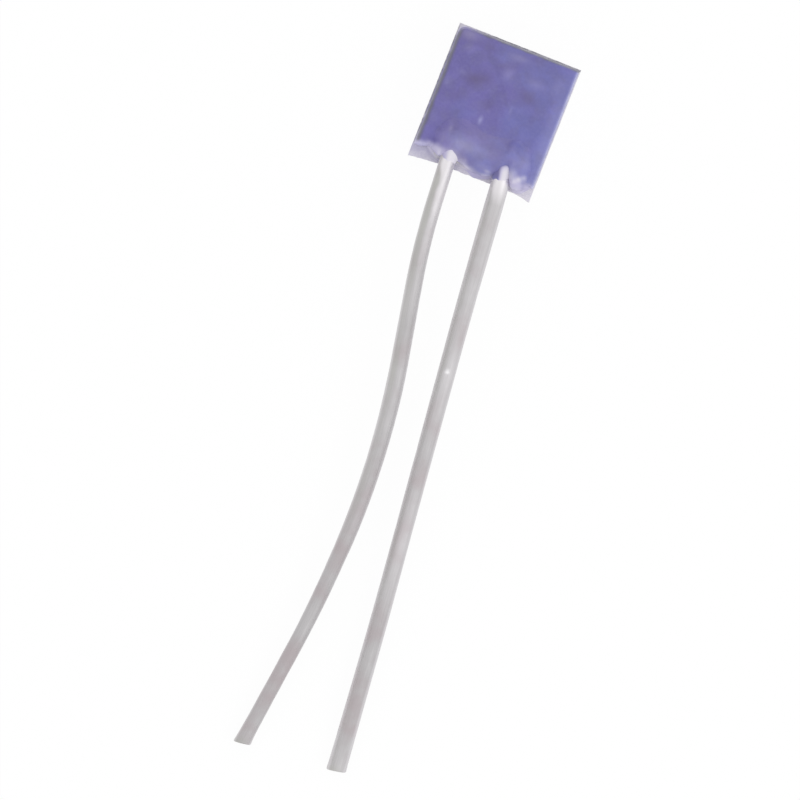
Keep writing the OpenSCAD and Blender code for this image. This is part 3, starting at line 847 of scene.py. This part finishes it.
def vector_maths(tree, operation, *vectors):
    made = add(tree, "ShaderNodeVectorMath", dict(enumerate(vectors)), operation=operation)
    return made.outputs["Value" if operation == "DOT_PRODUCT" else "Vector"]


def scaled(tree, vector, factor):
    inputs = {0: vector, "Scale": factor}
    return add(tree, "ShaderNodeVectorMath", inputs, operation="SCALE").outputs["Vector"]


def captured(tree, shape, measured):
    """Geometry that keeps values of its points, given as name to kind and socket."""
    capture = add(tree, "GeometryNodeCaptureAttribute", {"Geometry": shape})
    for label, (kind, socket) in measured.items():
        capture.capture_items.new(kind, label)
        tree.links.new(socket, capture.inputs[label])
    return capture.outputs


def wire_tree():
    """Wire swept along its route, flattened at its tail and crushed a little at its cut tip."""
    sizes = ("Wire Radius", "Ring Spacing", "Tail Length", "Tail Widening", "Tail Flattening", "Tail Drop",
             "Crush Length", "Crush", "Cut Slant", "Dent Depth", "Dent Size")
    inputs = {"Geometry": GEOMETRY, "Sides": "NodeSocketInt", **dict.fromkeys(sizes, FLOAT),
              "Material": "NodeSocketMaterial"}
    tree, given, out = new_tree("drawn_wire_along_route", "GeometryNodeTree", inputs, {"Geometry": GEOMETRY})

    def geometry(kind, inputs=None, **settings):
        return add(tree, "GeometryNode" + kind, inputs, **settings).outputs

    spaced = {"Curve": given["Geometry"], "Length": given["Ring Spacing"]}
    length = geometry("SplineParameter")["Length"]
    kept = captured(tree, geometry("ResampleCurve", spaced, mode="LENGTH")["Curve"], {
        "Along": ("FLOAT", length),
        "To Tip": ("FLOAT", maths(tree, "SUBTRACT", geometry("SplineLength")["Length"], length)),
        "Width": ("FLOAT", geometry("InputRadius")[0]),
        "Centre": ("VECTOR", geometry("InputPosition")[0]),
        "Way": ("VECTOR", geometry("InputTangent")[0]),
    })
    size = {"Resolution": given["Sides"], "Radius": given["Wire Radius"]}
    ring = captured(tree, geometry("CurvePrimitiveCircle", size)["Curve"],
                    {"Around": ("FLOAT", geometry("SplineParameter")["Factor"])})
    swept = {"Curve": kept["Geometry"], "Profile Curve": ring["Geometry"], "Fill Caps": True}
    shape = geometry("CurveToMesh", swept)["Mesh"]
    for label, socket in (("along", kept["Along"]), ("around", ring["Around"])):
        named = {"Geometry": shape, "Name": label, "Value": socket}
        shape = geometry("StoreNamedAttribute", named, data_type="FLOAT", domain="POINT")["Geometry"]
    # Share of the tail's flattening and of the tip's crushing at each point
    tail = between(tree, kept["Along"], times(tree, given["Tail Length"], 0.95),
                   times(tree, given["Tail Length"], 0.6))
    at_tip = between(tree, kept["To Tip"], given["Crush Length"], 0.0)
    crushed = times(tree, given["Crush"], at_tip)
    wider = maths(tree, "ADD", times(tree, tail, given["Tail Widening"]), times(tree, crushed, 0.5))
    wider = maths(tree, "ADD", wider, maths(tree, "SUBTRACT", kept["Width"], 1.0))
    flatter = maths(tree, "ADD", times(tree, tail, given["Tail Flattening"]), crushed)
    position = geometry("InputPosition")[0]
    out_of_axis = vector_maths(tree, "SUBTRACT", position, kept["Centre"])
    up = (0.0, 0.0, 1.0)
    sideways = vector_maths(tree, "NORMALIZE", vector_maths(tree, "CROSS_PRODUCT", kept["Way"], up))
    aside = vector_maths(tree, "DOT_PRODUCT", out_of_axis, sideways)
    widening = scaled(tree, sideways, times(tree, aside, wider))
    slanting = scaled(tree, kept["Way"], times(tree, times(tree, aside, given["Cut Slant"]), at_tip))
    falling = times(tree, vector_maths(tree, "DOT_PRODUCT", out_of_axis, up), flatter)
    dropping = maths(tree, "ADD", falling, times(tree, tail, given["Tail Drop"]))
    upright = add(tree, "ShaderNodeCombineXYZ", {"Z": dropping}).outputs["Vector"]
    dents = cloud(tree, position, maths(tree, "DIVIDE", 1.0, given["Dent Size"]), 2.0)
    pressed = times(tree, between(tree, dents, 0.55, 0.75), given["Dent Depth"])
    inward = scaled(tree, vector_maths(tree, "NORMALIZE", out_of_axis), pressed)
    pushed = vector_maths(tree, "SUBTRACT", slanting, vector_maths(tree, "ADD", upright, inward))
    offset = vector_maths(tree, "ADD", widening, pushed)
    for kind, inputs in (("SetPosition", {"Offset": offset}), ("SetShadeSmooth", {}),
                         ("RealizeInstances", {}), ("SetMaterial", {"Material": given["Material"]})):
        shape = geometry(kind, {"Geometry": shape, **inputs})["Geometry"]
    tree.links.new(shape, out["Geometry"])
    return tree


def run_tree(source, tree, name, values):
    """Puts a geometry tree on an object with its inputs set, and returns the result as a plain mesh."""
    modifier = source.modifiers.new("shape", "NODES")
    modifier.node_group = tree
    sockets = {item.name: item.identifier for item in tree.interface.items_tree if item.in_out == "INPUT"}
    for label, value in values.items():
        modifier[sockets[label]] = value
    evaluated = source.evaluated_get(bpy.context.evaluated_depsgraph_get())
    mesh = bpy.data.meshes.new_from_object(evaluated)
    source.modifiers.remove(modifier)
    bpy.data.objects.remove(source)
    mesh.name = name
    return placed(name, mesh)


def lead(name, wire, tree, material):
    """One lead as a plain mesh, with its dull and bright flanks as masks."""
    curve = bpy.data.curves.new(name + "_route", "CURVE")
    curve.dimensions = "3D"
    spline = curve.splines.new("POLY")
    places = np.array(lead_route(wire))
    spline.points.add(len(places) - 1)
    for k, (point, place) in enumerate(zip(spline.points, places)):
        point.co = (*(place * MM), 1.0)
        point.radius = value_at(wire.widths, k / (len(places) - 1))
    made = run_tree(placed(name + "_line", curve), tree, name, {
        "Wire Radius": WIRE_RADIUS * MM,
        "Ring Spacing": RING_SPACING * MM,
        "Sides": WIRE_SIDES,
        "Tail Length": TAIL_LENGTH * MM,
        "Tail Widening": TAIL_WIDTH / (2 * WIRE_RADIUS) - 1,
        "Tail Flattening": 1 - TAIL_THICKNESS / (2 * WIRE_RADIUS),
        "Tail Drop": (WIRE_Z - pad_top - TAIL_THICKNESS / 2) * MM,
        "Crush Length": 0.15 * MM,
        "Crush": 0.08,
        "Cut Slant": wire.cut,
        "Dent Depth": 0.004 * MM,
        "Dent Size": 0.5 * MM,
        "Material": material,
    })
    bpy.data.curves.remove(curve)
    round_ends(made)
    wire_masks(made, wire, places)
    return made


def round_ends(obj):
    """Softens the rim of a wire's cut ends and keeps the cut faces flat."""
    work = bmesh.new()
    work.from_mesh(obj.data)
    rim_shade = {edge for face in work.faces if len(face.verts) > 4 for edge in face.edges}
    bmesh.ops.bevel(work, geom=list(rim_shade), offset=TIP_ROUNDING * MM, segments=3, affect="EDGES", profile=0.5)
    for face in work.faces:
        face.smooth = len(face.verts) <= 4
    bmesh.ops.recalc_face_normals(work, faces=work.faces)
    work.to_mesh(obj.data)
    work.free()


def wire_masks(obj, wire, places):
    """Masks of the painted shade down the left flank, the painted sheen down the right flank and edges, and
    painted glints on small nicks, from marks along the lead.
    """
    travelled = distances(places)
    points = np.array([vertex.co for vertex in obj.data.vertices]) / MM
    along = np.array([mark.value for mark in obj.data.attributes["along"].data]) / MM
    middle, ahead, behind = (place_at(along + d, travelled, places) for d in (0.0, 0.05, -0.05))
    way = ahead - behind
    way /= np.linalg.norm(way[:, :2], axis=1)[:, None]
    offset = points - middle
    across = (offset[:, 1] * way[:, 0] - offset[:, 0] * way[:, 1]) / WIRE_RADIUS
    over = offset[:, 2] / WIRE_RADIUS
    dull, bright, nick_glint = [], [], []
    for s, u, v in zip(along, across, over):
        edge = wire.shade_to - 0.5 * smooth(0.8, 0.45, s)
        edge += 0.1 * ripple(s, 0.0, wire.root_x, 0.3) + 0.06 * ripple(s, v, wire.root_x, 0.08)
        dark_tip = 0.9 * smooth(0.16, 0.02, travelled[-1] - s) * smooth(0.9, -0.3, u)
        # The dull list holds the painted shade down the left flank and the darker tip
        dull.append(max(value_at(wire.shade, s) * smooth(edge, edge - 0.5, u), dark_tip))
        # Painted sheen down the right flank, and painted reflection of the white floor along both outer edges
        flank = value_at(wire.sheen, s) * smooth(edge - 0.4, edge + 0.1, u) * smooth(-0.6, 0.2, v)
        bright.append(max(flank, EDGE_SHEEN * smooth(0.68, 0.95, abs(u))))
        # Painted glints where small nicks lie, on the upper side
        near = [smooth(size, 0.0, math.hypot(s - place, (u - side) * WIRE_RADIUS))
                for place, side, size in wire.nicks]
        nick_glint.append(max(near, default=0.0) if v > 0 else 0.0)
    for label, values in (("shade", dull), ("sheen", bright), ("nick_glint", nick_glint)):
        vertex_mask(obj, label, values)


def camera_over_photo():
    """Camera straight above, turned as the photograph is, from far enough to keep its flat look."""
    data = bpy.data.cameras.new("camera")
    data.sensor_fit = "HORIZONTAL"
    data.angle = 2 * math.atan(PICTURE_WIDTH / 2 / CAMERA_HEIGHT)
    data.clip_start = 0.05
    data.clip_end = 5.0
    camera = placed("camera", data)
    camera.location = np.array([*PICTURE_MIDDLE, CAMERA_HEIGHT + plate_top]) * MM
    camera.rotation_euler = (0, 0, math.radians(PICTURE_TURN))
    bpy.context.scene.camera = camera


def lamp(name, place, aim, size, power):
    """Round soft lamp, placed in millimetres and with its power in watts, that the camera doesn't see."""
    data = bpy.data.lights.new(name, "AREA")
    data.shape = "DISK"
    data.size = size * MM
    data.energy = power
    made = placed(name, data)
    made.location = Vector(place) * MM
    made.rotation_euler = (Vector(aim) - Vector(place)).to_track_quat("-Z", "Y").to_euler()
    made.visible_camera = False


def seen_white(tree, shader, plain, share, out):
    """Shows a share of plain white in a shader's place to the camera and to mirror and glass rays."""
    path = add(tree, "ShaderNodeLightPath").outputs
    mirrored = maths(tree, "MAXIMUM", path["Is Glossy Ray"], path["Is Transmission Ray"])
    seen = times(tree, maths(tree, "MAXIMUM", path["Is Camera Ray"], mirrored), share)
    white = add(tree, plain, {"Color": WHITE, "Strength": 1.0})
    mix = add(tree, "ShaderNodeMixShader", {0: seen, 1: shader.outputs[0], 2: white.outputs[0]})
    tree.links.new(mix.outputs[0], out.inputs["Surface"])


def studio():
    """Soft light from all round, a little stronger from the right, and a pale backdrop."""
    world = bpy.data.worlds.new("studio")
    bpy.context.scene.world = world
    world.use_nodes = True
    world.cycles.sampling_method = "NONE"
    tree = world.node_tree
    soft = tree.nodes["Background"]
    way = add(tree, "ShaderNodeTexCoord").outputs["Generated"]
    right = add(tree, "ShaderNodeSeparateXYZ", {"Vector": way}).outputs["X"]
    tree.links.new(between(tree, right, -0.9, 0.6, 0.83, 0.93), soft.inputs["Strength"])
    soft.inputs["Color"].default_value = WHITE
    seen_white(tree, soft, "ShaderNodeBackground", 1.0, tree.nodes["World Output"])
    lamp("key", place=(70, -25, 75), aim=(0, -2, 0), size=60, power=0.013)
    lamp("fill", place=(-60, 30, 80), aim=(0, -4, 0), size=60, power=0.004)


def floor():
    """White floor that keeps a soft shadow of the part."""
    mesh = bpy.data.meshes.new("floor")
    square = ((-1, -1), (1, -1), (1, 1), (-1, 1))
    corners = [(x * FLOOR_HALF, y * FLOOR_HALF, -FLOOR_DROP * MM) for x, y in square]
    mesh.from_pydata(corners, [], [(0, 1, 2, 3)])
    material = bpy.data.materials.new("white_floor")
    material.use_nodes = True
    material.cycles.emission_sampling = "NONE"
    tree = material.node_tree
    surface = tree.nodes["Principled BSDF"]
    for label, value in (("Base Color", WHITE), ("Roughness", 0.9), ("Specular IOR Level", 0.0)):
        surface.inputs[label].default_value = value
    seen_white(tree, surface, "ShaderNodeEmission", FLOOR_WHITE, tree.nodes["Material Output"])
    mesh.materials.append(material)
    placed("floor", mesh)


camera_over_photo()
studio()
floor()

alumina = ceramic_material()
face_glaze = glaze_material("cover_glaze", main=(109, 101, 170), second=(112, 112, 181), dull=(112, 107, 156),
                            dark=(92, 81, 122), blister=(200, 202, 244))
# The bead's pale colour is that of its painted highlights
bead_glaze = glaze_material("bead_glaze", main=(115, 106, 172), second=(114, 114, 183), dull=(115, 109, 159),
                            dark=(90, 82, 132), blister=(231, 227, 236))
bright_wire = wire_material()

wire_shape = wire_tree()
dressed = [
    (ceramic_plate(alumina), "ceramic_substrate", "alumina"),
    (cover_glass(face_glaze), "cover_glass", "cover_glaze"),
    (fixing_bead(bead_glaze), "fixing_bead", "bead_glaze"),
    (lead("left_wire", LEFT, wire_shape, bright_wire), "left_lead", "lead_wire"),
    (lead("right_wire", RIGHT, wire_shape, bright_wire), "right_lead", "lead_wire"),
]
for piece, node, finish_slot in dressed:
    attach(piece, "root")
    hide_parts(node)

film_metal = sealed_metal("platinum_film", (158, 156, 152), (176, 174, 170))
pad_metal = sealed_metal("pad_metal", (190, 188, 184), (204, 202, 198))
for node, metal in (("platinum_film", film_metal), ("left_pad", pad_metal), ("right_pad", pad_metal)):
    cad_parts[node].data.materials.clear()
    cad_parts[node].data.materials.append(metal)

scene = bpy.context.scene
scene.view_settings.view_transform = "Standard"
